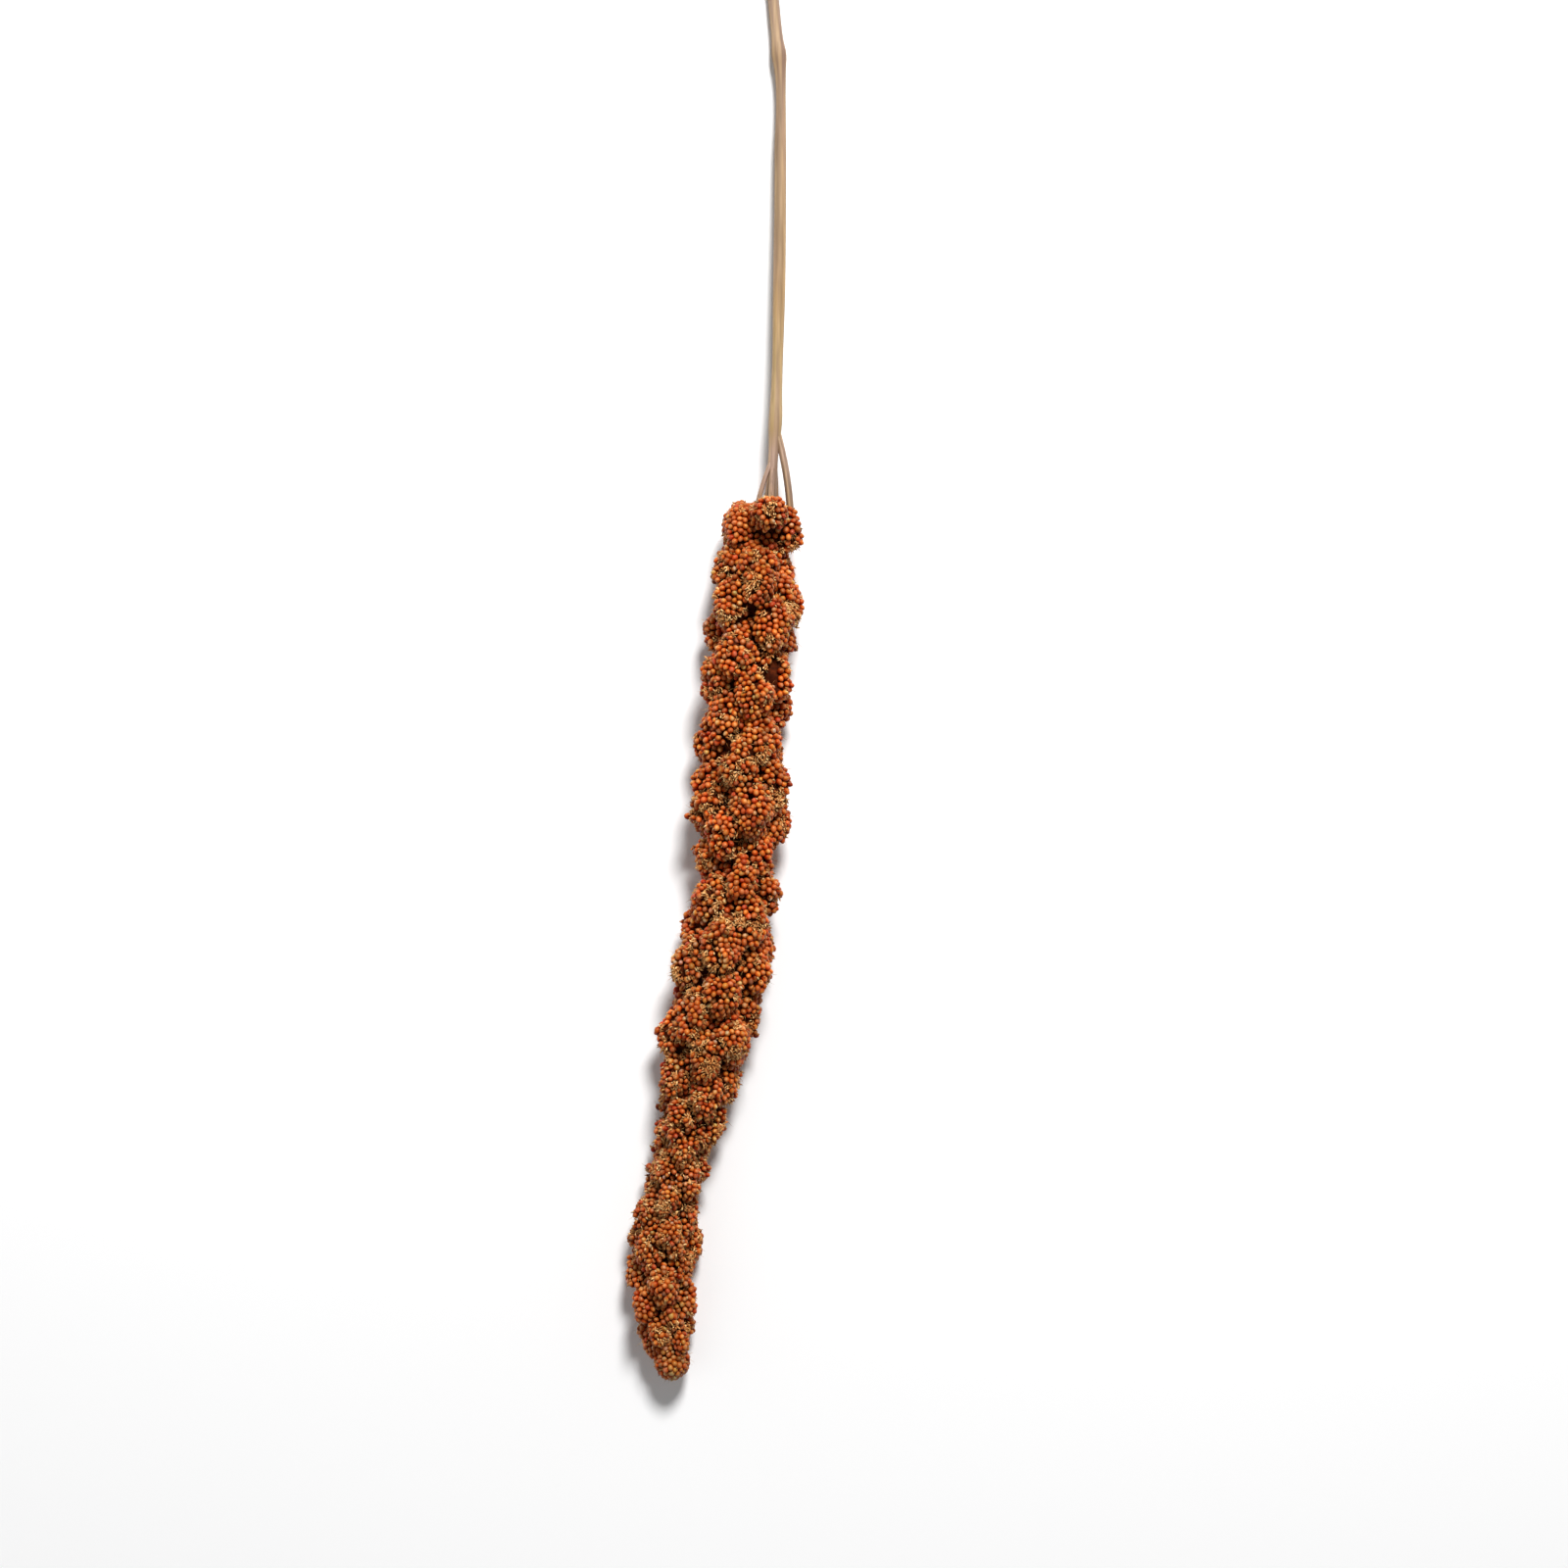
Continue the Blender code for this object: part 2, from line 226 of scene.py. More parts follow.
# Chaffy places on the side that faces up, as in the photograph: how chaffy one is in its middle, how fast
# that falls away, then x, y and radius of each.
SPOT_PEAK = 0.92
SPOT_FALL = 0.8
CHAFFY_SPOTS = (
    (15.9, 30.0, 3.0),
    (21.1, 19.9, 2.2),
    (11.2, 10.8, 3.0),
    (22.0, 4.3, 2.6),
    (8.9, -6.4, 1.9),
    (16.9, -10.8, 3.0),
    (12.6, -13.4, 2.0),
    (6.3, -29.0, 2.6),
    (4.5, -40.4, 2.2),
    (0.8, -48.4, 2.8),
    (17.5, -45.0, 3.4),
    (7.9, -56.3, 1.9),
    (-1.0, -62.5, 2.6),
    (3.4, -69.5, 2.8),
    (2.1, -76.5, 2.0),
    (12.0, -79.4, 2.6),
    (0.3, -89.3, 2.8),
    (-9.0, -91.9, 3.0),
    (-1.0, -99.7, 2.0),
    (-4.4, -111.2, 3.6),
    (-13.2, -113.5, 2.6),
    (-13.2, -137.7, 2.6),
    (-1.0, -139.5, 3.4),
    (-12.6, -154.6, 3.4),
    (-2.8, -160.0, 4.0),
    (-4.9, -168.6, 2.4),
    (-5.4, -185.0, 2.8),
)
# Chaff elsewhere follows noise: spots a mm of the coarse noise and its place, spots a mm of the fine noise
# and its share, where chaff starts, how fast it grows, the most of it, and the least (y, then how much).
CHAFF_COARSE = 0.16
CHAFF_PLACE = Vector((7.3, 1.9, 4.1))
CHAFF_FINE = 0.45
CHAFF_FINE_SHARE = 0.35
CHAFF_START = 0.34
CHAFF_GROWTH = 4.0
CHAFF_MOST = 0.85
CHAFF_LEAST = ((-175.0, -160.0, -125.0, -95.0), (0.07, 0.20, 0.20, 0.07))

# Small pointed scales that stand for a grain in a chaffy place: how many, half sizes, how they spread, how
# much they narrow to their point, and how far chance changes their brightness.
SCALES_EACH = 7
SCALE_HALVES = (0.30, 0.20, 0.92)
SCALE_SIZES = (0.75, 1.20)
SCALE_OFFSET = (0.35, 0.85)
SCALE_LIFT = (-0.25, 0.30)
SCALE_LEAN = 0.6
SCALE_TAPER = 0.45
SCALE_BRIGHTNESS = (0.80, 1.30)
# Painted shade on a scale and on a husk: darker and redder at its base, where it sits deep among the
# grains, and lighter towards its tip: how far along, then the share of its red, green and blue.
SCALE_LENGTHWISE = (-0.6, 0.5)
HUSK_LENGTHWISE = (0.0, 0.7)
BASE_SHADE_SHARES = ((0.62, 1.1), (0.26, 1.1), (0.08, 1.1))
# Husks that hug the grains: share of the grains with one (y, then share), half width, half thickness and
# length, how far chance changes those, its lean away from the grain, and how far down and out it starts.
HUSK_SHARE = ((-175.0, -160.0, -120.0, -80.0), (0.6, 0.95, 0.9, 0.5))
HUSK_HALVES = (0.38, 0.24, 1.70)
HUSK_SIZES = (0.8, 1.2)
HUSK_LEAN = (0.15, 0.6)
HUSK_DOWN = 0.7
HUSK_OUT = 0.66
HUSK_BRIGHTNESS = (0.7, 1.2)
# A husk's rim round its two long sides, then the middle of its back and of its hollow side, in those sizes.
HUSK_RIM = (
    (0, 0, 0),
    (1, -0.9, 0.32),
    (0.8, -0.6, 0.68),
    (0, 0.3, 1),
    (-0.8, -0.6, 0.68),
    (-1, -0.9, 0.32),
)
HUSK_MIDDLES = ((0, 1, 0.5), (0, 0.3, 0.5))
# Hairs between the grains: share of the grains with one, radius and length, lean, how thin and how far over
# a hair is at its bend and at its end, and how far out and down it starts.
BRISTLE_SHARE = 0.20
BRISTLE_RADIUS = 0.06
BRISTLE_LENGTH = (1.4, 2.9)
BRISTLE_LEAN = (0.0, 0.7)
BRISTLE_THIN = 0.7
BRISTLE_BEND = (2.2, 0, 0.55)
BRISTLE_END = (6.0, 0, 1)
BRISTLE_OUT = 0.85
BRISTLE_DOWN = 0.2
BRISTLE_BRIGHTNESS = (0.6, 1.1)


def linear(red, green, blue):
    """A display colour from 0 to 255 as linear light."""
    shares = (value / 255 for value in (red, green, blue))
    return tuple(s / 12.92 if s <= 0.04045 else ((s + 0.055) / 1.055) ** 2.4 for s in shares)


# How many of a hundred have each colour, and the colours.
GRAIN_COLOURS = (
    (42, linear(184, 92, 32)),
    (20, linear(174, 78, 26)),
    (18, linear(188, 104, 40)),
    (9, linear(184, 120, 60)),
    (4, linear(172, 64, 24)),
    (7, linear(140, 70, 26)),
)
HUSK_COLOURS = (
    (42, linear(204, 152, 90)),
    (30, linear(168, 110, 56)),
    (28, linear(230, 188, 128)),
)
# How far chance changes a grain's red, green and blue each, then all three together, and how much brighter
# or darker whole patches are, with the spots a mm of that noise and its place.
GRAIN_VARIETY = ((0.94, 0.88, 0.70), (1.05, 1.14, 1.45))
GRAIN_BRIGHTNESS = (0.80, 1.16)
PATCH_SHARE = 0.35
PATCH_SPOTS = 0.11
PATCH_PLACE = Vector((3.1, 5.7, 0.4))
# Painted shade and painted highlight on each grain: darker and redder on its sides towards the seams, and
# paler and whiter on its side that faces out and a little towards the stem, where the key light comes from:
# how far out, then the share of its red, green and blue.
HIGHLIGHT_LEAN = 0.45
PAINTED_LIGHT_STOPS = (0.0, 0.5, 0.85, 1.0)
PAINTED_LIGHT_SHARES = ((0.38, 0.94, 1.03, 1.06), (0.06, 0.55, 1.10, 1.80), (0.01, 0.20, 1.15, 4.00))
# The head's brightness along it, and the dust on its lower end: y, then share.
LOWER_SHADE = ((-200.0, -120.0, -100.0, -20.0, 10.0), (0.88, 0.97, 1.06, 1.06, 1.0))
LOWER_DUST = ((-190.0, -110.0), (0.06, 0.0))
DUST_COLOUR = linear(158, 112, 60)
PEACH_SHINE = (1.0, 0.72, 0.46, 1.0)
STRAW_SHINE = (1.0, 0.92, 0.8, 1.0)
# Materials: colour and level of the shine, mottles a metre, roughness from and to, and depth of the fine
# bumps in mm. The stem's mottles and bumps are stretched along it, and it has fewer bumps a metre.
GRAIN_FINISH = {"shine": PEACH_SHINE, "specular": 0.24, "spots": 700, "rough": (0.28, 0.42), "bump": 0.05}
HUSK_FINISH = {"shine": STRAW_SHINE, "specular": 0.25, "spots": 900, "rough": (0.55, 0.8), "bump": 0.05}
STEM_FINISH = {"shine": STRAW_SHINE, "specular": 0.3, "spots": 1400, "rough": (0.45, 0.7), "bump": 0.12}
ALONG_STEM = {"stretch": (1, 0.03, 1), "fine": 2600}
FINE_BUMPS = 3500
BUMP_STRENGTH = 0.5
MOTTLE = (0.82, 1.14)
# The part of a noise texture's range that is used.
NOISE_RANGE = {"From_Min": 0.3, "From_Max": 0.7}
# The bed: its near-black colour, painted shade in the seams between the grains, and the colour of its
# lighter chaff spots, how the noise picks between them, and its surface.
BED_SHADE_COLOUR = linear(50, 11, 2)
BED_SPOT_COLOUR = linear(92, 36, 12)
BED_SPOTS = 900
BED_SPOTS_FROM = 0.38
BED_SPOTS_FULL = 0.72
BED_SPECULAR = 0.15
BED_ROUGHNESS = (0.75, 0.95)
BED_BUMP = 0.3
BED_BUMP_STRENGTH = 0.8

# Colours of the stem along its length: y and the display colour.
STEM_TINTS = (
    (-170, (110, 76, 46)),
    (30, (126, 94, 64)),
    (38, (146, 118, 102)),
    (46, (168, 139, 121)),
    (52, (160, 132, 92)),
    (58, (171, 145, 105)),
    (74, (174, 145, 102)),
    (88, (163, 131, 91)),
    (96, (170, 138, 102)),
    (110, (168, 138, 104)),
    (140, (161, 132, 102)),
    (153, (130, 102, 82)),
    (158, (153, 128, 110)),
    (201.5, (163, 138, 119)),
)
STREAK_TINTS = (linear(134, 106, 98), linear(190, 158, 114), linear(118, 98, 76))
# The most that a streak covers, how fast its noise grows to that, spots a mm along the stem, how many there
# are round the stem and round a strand, and how far the noise of one colour lies from the next's.
STREAK_SHARE = 0.45
STREAK_GROWTH = 2.6
STREAKS_ALONG = 0.035
STEM_STREAKS = 1.5
STRAND_STREAKS = (1.2, 1.6, 2.0)
STREAK_STEP = 9.1
PITH_TINT = linear(214, 196, 158)

# The photograph's width and height on the level plane through the head, its middle there, that plane's
# height, and the camera's lens and sensor.
PHOTO_SPAN = 416.0
PHOTO_MIDDLE = (18.65, -43.3)
HEAD_HEIGHT = 11.0
LENS = 85.0
SENSOR = 36.0

# Lights: place and width in metres, and power in watts. The sky's strength falls from the horizon upwards.
KEY = ((0.25, 0.95, 1.1), 0.4, 31.0)
FILL = ((-0.7, -0.3, 0.9), 1.0, 1.5)
HORIZON = 0.8
OVERHEAD = 0.12
OVERHEAD_FROM = 0.6
FLOOR_SIZE = 6.0
FLOOR_GREY = 0.92
FLOOR_SPECULAR = 0.2
FLOOR_ROUGHNESS = 0.9


def smooth_line(line, places):
    """The values of a line's points at these y, on a smooth curve through the points."""
    points = np.array(sorted(line), float)
    knots = points[:, 0]
    values = points[:, 1:]
    slopes = np.gradient(values, knots, axis=0)
    places = np.clip(np.asarray(places, float), knots[0], knots[-1])
    left = np.clip(np.searchsorted(knots, places) - 1, 0, len(knots) - 2)
    width = (knots[left + 1] - knots[left])[:, None]
    t = ((places - knots[left]) / width[:, 0])[:, None]
    start = (2 * t**3 - 3 * t**2 + 1) * values[left] + (t**3 - 2 * t**2 + t) * width * slopes[left]
    end = (3 * t**2 - 2 * t**3) * values[left + 1] + (t**3 - t**2) * width * slopes[left + 1]
    return start + end


def axis_at(places):
    """Points on the head's middle line, its direction towards the stem, and its outer radius."""
    places = np.atleast_1d(np.asarray(places, float))
    x, z, radius = smooth_line(HEAD_LINE, places).T
    ahead = smooth_line(HEAD_LINE, places + 1)
    behind = smooth_line(HEAD_LINE, places - 1)
    points = np.stack([x, places, z], 1)
    along = np.stack([ahead[:, 0] - behind[:, 0], np.full(len(x), 2.0), ahead[:, 1] - behind[:, 1]], 1)
    along /= np.linalg.norm(along, axis=1)[:, None]
    return points, along, radius


def square_to(along):
    """Two directions square to these: sideways, and as near to up as can be."""
    side = np.cross(along, (0.0, 0.0, 1.0))
    side /= np.linalg.norm(side, axis=1)[:, None]
    return side, np.cross(side, along)


def lobe(y, turn, draw):
    """Middle, three directions and three half sizes of one cluster of grain."""
    point, along, radius = (value[0] for value in axis_at(y))
    side, up = (value[0] for value in square_to(along[None]))
    angle = turn + draw.uniform(-TURN_SPREAD, TURN_SPREAD)
    size = radius * draw.uniform(*SIZE_RANGE)
    out = side * math.cos(angle) + up * math.sin(angle)
    proud = radius * draw.uniform(*PROUD_RANGE)
    shift = radius * draw.uniform(-SHIFT_SPREAD, SHIFT_SPREAD)
    middle = point + out * (radius + proud - size * LOBE_DEPTH) + along * shift
    droop = LOBE_DROOP * draw.uniform(*DROOP_RANGE)
    lengthwise = along * math.cos(droop) - out * math.sin(droop)
    outwards = out * math.cos(droop) + along * math.sin(droop)
    across = np.cross(lengthwise, outwards)
    halves = (size * LOBE_LENGTH, size * LOBE_WIDTH, size * LOBE_DEPTH)
    return middle, (lengthwise, across, outwards), halves


def lobes():
    """All the clusters of grain: the balls, the ring on the shoulder and the spiral."""
    draw = random.Random(SEED)
    found = [(np.array(ball[:3]), tuple(np.eye(3)), (ball[3],) * 3) for ball in BALLS]
    found += [lobe(SHOULDER_LOBES_Y, math.radians(turn), draw) for turn in SHOULDER_TURNS]
    y = FIRST_LOBE_Y
    turn = FIRST_TURN
    while y > LAST_LOBE_Y:
        found.append(lobe(y, turn, draw))
        y -= LOBE_STEP * axis_at(y)[2][0]
        turn += LOBE_TURN
    return found


def unit(vectors):
    return vectors / np.linalg.norm(vectors, axis=-1, keepdims=True)


def mesh_piece(name, points, faces, looks, tints=None):
    """A smooth piece from points in mm and faces, with one colour a point."""
    mesh = bpy.data.meshes.new(name)
    places = (np.asarray(points, float) - (*MIDDLE, 0.0)) * MM
    mesh.from_pydata(places.tolist(), [], faces.tolist() if isinstance(faces, np.ndarray) else faces)
    mesh.shade_smooth()
    mesh.materials.append(looks)
    if tints is not None:
        layer = mesh.color_attributes.new("tint", "FLOAT_COLOR", "POINT")
        layer.data.foreach_set("color", np.column_stack([tints, np.ones(len(tints))]).ravel())
    piece = bpy.data.objects.new(name, mesh)
    bpy.context.scene.collection.objects.link(piece)
    return piece


def reach(origins, directions, found):
    """How far each ray goes from the axis before it leaves the last lobe that it meets, or 0."""
    furthest = np.zeros(len(origins))
    for middle, axes, halves in found:
        lobe_frame = np.array(axes) / np.array(halves)[:, None]
        start = (origins - middle) @ lobe_frame.T
        step = directions @ lobe_frame.T
        square = (step * step).sum(1)
        slope = (start * step).sum(1)
        inside = slope**2 - square * ((start * start).sum(1) - 1)
        distance = (np.sqrt(np.maximum(inside, 0)) - slope) / square
        furthest = np.maximum(furthest, np.where(inside > 0, distance, 0))
    return furthest


def ring_places():
    """Where on the axis each ring of rays starts, and its lean: fanned out over both ends of the head."""
    shoulder = SHOULDER_Y - SHOULDER_ROUND
    tip = TIP_Y + TIP_ROUND
    fan = np.linspace(0, WIDEST_LEAN, FAN_STEPS)
    middle = np.linspace(shoulder, tip, MIDDLE_STEPS)
    start = np.concatenate([np.full(FAN_STEPS, shoulder), middle, np.full(FAN_STEPS, tip)])
    lean = np.concatenate([fan[::-1], np.zeros(MIDDLE_STEPS), -fan])
    radius = axis_at((start[1:] + start[:-1]) / 2)[2]
    step = np.abs(np.diff(start)) / radius + np.abs(np.diff(lean))
    travelled = np.concatenate([[0], np.cumsum(step)])
    wanted = np.linspace(0, travelled[-1], RINGS)
    return np.interp(wanted, travelled, start), np.interp(wanted, travelled, lean)


def net_rays():
    """The net's rays: where each starts on the axis, its direction, and the head's radius there."""
    starts, leans = (np.repeat(values, COLUMNS) for values in ring_places())
    points, along, radius = axis_at(starts)
    side, up = square_to(along)
    odd = np.repeat(np.arange(RINGS) % 2, COLUMNS)
    turns = (math.tau * (np.tile(np.arange(COLUMNS), RINGS) + 0.5 * odd) / COLUMNS)[:, None]
    flat = side * np.cos(turns) + up * np.sin(turns)
    rays = flat * np.cos(leans)[:, None] + along * np.sin(leans)[:, None]
    return points, rays, radius


def net_faces():
    """The net's triangles, and a flat face that closes it at each end."""
    faces = []
    for ring in range(RINGS - 1):
        low, high = ring * COLUMNS, (ring + 1) * COLUMNS
        for k in range(COLUMNS):
            after = (k + 1) % COLUMNS
            if ring % 2:
                faces += [(low + k, low + after, high + after), (low + k, high + after, high + k)]
            else:
                faces += [(low + k, low + after, high + k), (low + after, high + after, high + k)]
    faces.append(tuple(range(COLUMNS))[::-1])
    faces.append(tuple(range((RINGS - 1) * COLUMNS, RINGS * COLUMNS)))
    return faces


def near_mean(values):
    """The mean of the net's values over the rings and columns near each point."""
    grid = values.reshape(RINGS, COLUMNS)
    rings = range(-VALLEY_RINGS, VALLEY_RINGS + 1)
    columns = range(-VALLEY_COLUMNS, VALLEY_COLUMNS + 1)
    total = sum(grid[np.clip(np.arange(RINGS) + ring, 0, RINGS - 1)] for ring in rings)
    total = sum(np.roll(total, column, axis=1) for column in columns)
    return (total / (len(rings) * len(columns))).ravel()


def clump_relief(points):
    """The height of the small clumps at these points, and how open the groove is there, from 0 to 1."""
    heights, grooves = [], []
    for point in points:
        near, centres = noise.voronoi(Vector(point) / CLUMP_SIZE)
        opened = 0.5 + GROOVE_SPREAD * noise.noise(Vector(point) * GROOVE_SPOTS)
        groove = max(1 - (near[1] - near[0]) / GROOVE_WIDTH, 0.0) * min(max(opened, 0.0), 1.0)
        heights.append(CLUMP_RISE * (noise.cell(centres[0] * CLUMP_KEY) - 0.5))
        grooves.append(groove)
    return np.array(heights), np.array(grooves)


def head_surface(found, sink):
    """The lobes' surface, sunk by this much: points, depth of its valleys and openness of its grooves."""
    origins, rays, radius = net_rays()
    shrunk = []
    for middle, axes, halves in found:
        shrunk.append((middle, axes, [max(half - sink, LEAST_LOBE) for half in halves]))
    distance = np.maximum(reach(origins, rays, shrunk), CORE * radius - sink / 2)
    outside = origins + rays * radius[:, None]
    fade = np.interp(outside[:, 1], *RELIEF_FADE)
    for spots, height in LOBE_NOISE:
        distance += fade * height * np.array([noise.noise(Vector(point)) for point in outside * spots])
    depth = near_mean(distance) - distance
    distance += np.maximum(depth, 0) * np.interp(origins[:, 1], *VALLEY_FILL)
    height, groove = clump_relief(outside)
    distance += fade * (height - GROOVE_DEPTH * groove)
    return origins + rays * distance[:, None], depth, groove


def outward(points):
    """The direction out of the net's surface at each point."""
    grid = points.reshape(RINGS, COLUMNS, 3)
    after = grid[np.clip(np.arange(RINGS) + 1, 0, RINGS - 1)]
    before = grid[np.clip(np.arange(RINGS) - 1, 0, RINGS - 1)]
    around = np.roll(grid, -1, axis=1) - np.roll(grid, 1, axis=1)
    return unit(np.cross(before - after, around).reshape(-1, 3))


def make_bed(found, looks):
    """The bed that the grains are set in, near black as painted shade between them: the lobes' surface,
    sunk and roughened.
    """
    points = head_surface(found, BED_SINK)[0]
    rough = np.array([noise.noise(Vector(point) * BED_NOISE) for point in points])
    points += unit(points - axis_at(points[:, 1])[0]) * rough[:, None] * BED_ROUGH
    points[:, 2] = np.maximum(points[:, 2], BED_LOWEST)
    return mesh_piece("head_core", points, net_faces(), looks)


def keep_apart(points, least):
    """Which points stay when each in turn is dropped if one kept before is nearer than this."""
    kept = []
    cells = {}
    around = [(x, y, z) for x in (-1, 0, 1) for y in (-1, 0, 1) for z in (-1, 0, 1)]
    spots = np.floor(points / least).astype(int).tolist()
    for number, ((i, j, k), place) in enumerate(zip(spots, points.tolist())):
        near = (other for x, y, z in around for other in cells.get((i + x, j + y, k + z), ()))
        if all(math.dist(place, other) > least for other in near):
            kept.append(number)
            cells.setdefault((i, j, k), []).append(place)
    return np.array(kept)


def tree_of(points):
    """A tree that finds the nearest of these points."""
    tree = kdtree.KDTree(len(points))
    for number, point in enumerate(points.tolist()):
        tree.insert(point, number)
    tree.balance()
    return tree


def pushed_apart(places):
    """The places after each pair that is too near has pushed itself apart a little."""
    tree = tree_of(places)
    pairs = []
    for number, place in enumerate(places.tolist()):
        others = (other for spot, other, gap in tree.find_range(place, PUSH_REACH))
        pairs += [(number, other) for other in others if other > number]
    first, second = np.array(pairs).T
    between = places[first] - places[second]
    gap = np.linalg.norm(between, axis=1)[:, None]
    push = between / gap * (PUSH_REACH - gap) * PUSH_SHARE
    moved = places.copy()
    np.add.at(moved, first, push)
    np.add.at(moved, second, -push)
    return moved


def grain_places(found, draw):
    """Middle of every grain, direction of its tip, and direction out of the surface there.

    The grains are spread evenly over the lobes, but not in deep holes or open grooves.
    """
    points, depth, groove = head_surface(found, 0.0)
    normals = outward(points)
    resting = points[:, 2] < 0
    points[resting, 2] = 0
    normals[resting] = (0, 0, -1)
    usable = depth < np.interp(points[:, 1], *DEEPEST_VALLEY)
    usable &= groove < np.interp(points[:, 1], *GROOVE_BARE)
    points, normals = points[usable], normals[usable]
    net = tree_of(points)
    places = draw.permutation(points) + draw.normal(0, START_SPREAD, points.shape)
    places = places[keep_apart(places, START_APART)]
    for step in range(PUSH_ROUNDS):
        places = pushed_apart(places)
        nearest = np.array([net.find(place)[1] for place in places.tolist()])
        height = ((places - points[nearest]) * normals[nearest]).sum(1)[:, None]
        places = places - normals[nearest] * height
    near = tree_of(places)
    company = np.array([len(near.find_range(place, COMPANY_REACH)) for place in places.tolist()])
    places, nearest = places[company > LEAST_COMPANY], nearest[company > LEAST_COMPANY]
    kept = keep_apart(places, END_APART)
    kept = kept[np.argsort(places[kept, 1])]
    places, normals = places[kept], normals[nearest[kept]]
    sunk = GRAIN_SINK + draw.uniform(-GRAIN_SINK_SPREAD, GRAIN_SINK_SPREAD, (len(kept), 1))
    middles = places - normals * sunk
    along = axis_at(middles[:, 1])[1]
    tips = unit(normals - along * GRAIN_LEAN + draw.normal(0, GRAIN_TILT, middles.shape))
    lowest = GRAIN_HALVES[1] * draw.uniform(*GRAIN_LOWEST, len(middles))
    middles[:, 2] = np.maximum(middles[:, 2], lowest)
    return middles, tips, normals


def chaffiness(middles):
    """How chaffy each grain's place is, from 0 to 1."""
    centre = axis_at(middles[:, 1])[0]
    coarse = np.array([noise.noise(Vector(point) * CHAFF_COARSE + CHAFF_PLACE) for point in middles])
    fine = np.array([noise.noise(Vector(point) * CHAFF_FINE) for point in middles])
    value = (coarse + CHAFF_FINE_SHARE * fine - CHAFF_START) * CHAFF_GROWTH
    value = np.clip(value, np.interp(middles[:, 1], *CHAFF_LEAST), CHAFF_MOST)
    upper = middles[:, 2] > centre[:, 2]
    for x, y, radius in CHAFFY_SPOTS:
        distance = np.hypot(middles[:, 0] - x, middles[:, 1] - y) / radius
        value = np.where(upper, np.maximum(value, SPOT_PEAK - SPOT_FALL * distance**2), value)
    return value


def pick_colours(colours, count, draw):
    shares = np.array([share for share, colour in colours], float)
    values = np.array([colour for share, colour in colours])
    return values[draw.choice(len(values), count, p=shares / shares.sum())]


def ball_mesh(level):
    """Points and triangles of a round ball."""
    shape = bmesh.new()
    bmesh.ops.create_icosphere(shape, subdivisions=level, radius=1)
    points = np.array([vert.co for vert in shape.verts])
    faces = np.array([[vert.index for vert in face.verts] for face in shape.faces])
    shape.free()
    return points, faces


def placed(shape, sizes, frames, middles):
    """One copy of the shape's points for each middle, sized and turned: copies by points by 3."""
    return np.einsum("npk,nkj->npj", shape[None] * sizes[:, None], frames) + middles[:, None]


def frames_along(tips, draw):
    """Three square directions for each tip direction, turned by chance, with the tip's as the third."""
    chance = unit(np.cross(tips, draw.normal(0, 1, tips.shape)))
    return np.stack([chance, np.cross(tips, chance), tips], 1)


def copies(name, points, faces, tints, looks):
    """One piece of many closed bodies that share their faces' layout."""
    count, size = points.shape[:2]
    every = (faces[None] + (np.arange(count) * size)[:, None, None]).reshape(-1, faces.shape[1])
    points = points.reshape(-1, 3)
    points[:, 2] = np.maximum(points[:, 2], 0.0)
    return mesh_piece(name, points, every, looks, np.minimum(tints.reshape(-1, 3), 1.0))


def make_grains(middles, tips, normals, draw, looks):
    """The grains, in bands along the head: orange beads with painted shade on their sides in the seams and
    a painted highlight on the side that faces out, and a dark spot on each tip.
    """
    ball, faces = ball_mesh(2)
    height = ball[:, 2]
    taper = 1 - TIP_TAPER * np.clip(height, 0, 1) ** 2 - BASE_TAPER * np.clip(-height, 0, 1) ** 2
    shape = np.column_stack([ball[:, 0] * taper, ball[:, 1] * taper, height])
    count = len(middles)
    sizes = np.array(GRAIN_HALVES) * draw.uniform(*GRAIN_SIZES, (count, 1))
    sizes *= np.interp(middles[:, 1], *GRAIN_SHRINK)[:, None]
    points = placed(shape, sizes, frames_along(tips, draw), middles)
    patches = np.array([noise.noise(Vector(point) * PATCH_SPOTS + PATCH_PLACE) for point in middles])
    body = pick_colours(GRAIN_COLOURS, count, draw)
    body *= draw.uniform(*GRAIN_VARIETY, (count, 3)) * draw.uniform(*GRAIN_BRIGHTNESS, (count, 1))
    body *= 1 + PATCH_SHARE * patches[:, None]
    dust = np.interp(middles[:, 1], *LOWER_DUST)[:, None]
    body = body * (1 - dust) + np.array(DUST_COLOUR) * dust
    body *= np.interp(middles[:, 1], *LOWER_SHADE)[:, None]
    # Painted shade and painted highlight: each grain is tinted darker and redder towards the seams and
    # paler towards its side that faces out and a little towards the stem.
    lit_side = unit(normals + axis_at(middles[:, 1])[1] * HIGHLIGHT_LEAN)
    out = ((points - middles[:, None]) * lit_side[:, None]).sum(2) / sizes[:, :1]
    tints = body[:, None] * np.stack([np.interp(out, PAINTED_LIGHT_STOPS, shares) for shares in PAINTED_LIGHT_SHARES], 2)
    tints *= np.where(height > TIP_SPOT_FROM, TIP_SPOT_SHADE, 1.0)[None, :, None]
    made = []
    for number, band in enumerate(np.array_split(np.arange(count), GRAIN_PIECES)):
        made.append(copies(f"grains_{number}", points[band], faces, tints[band], looks))
    return made


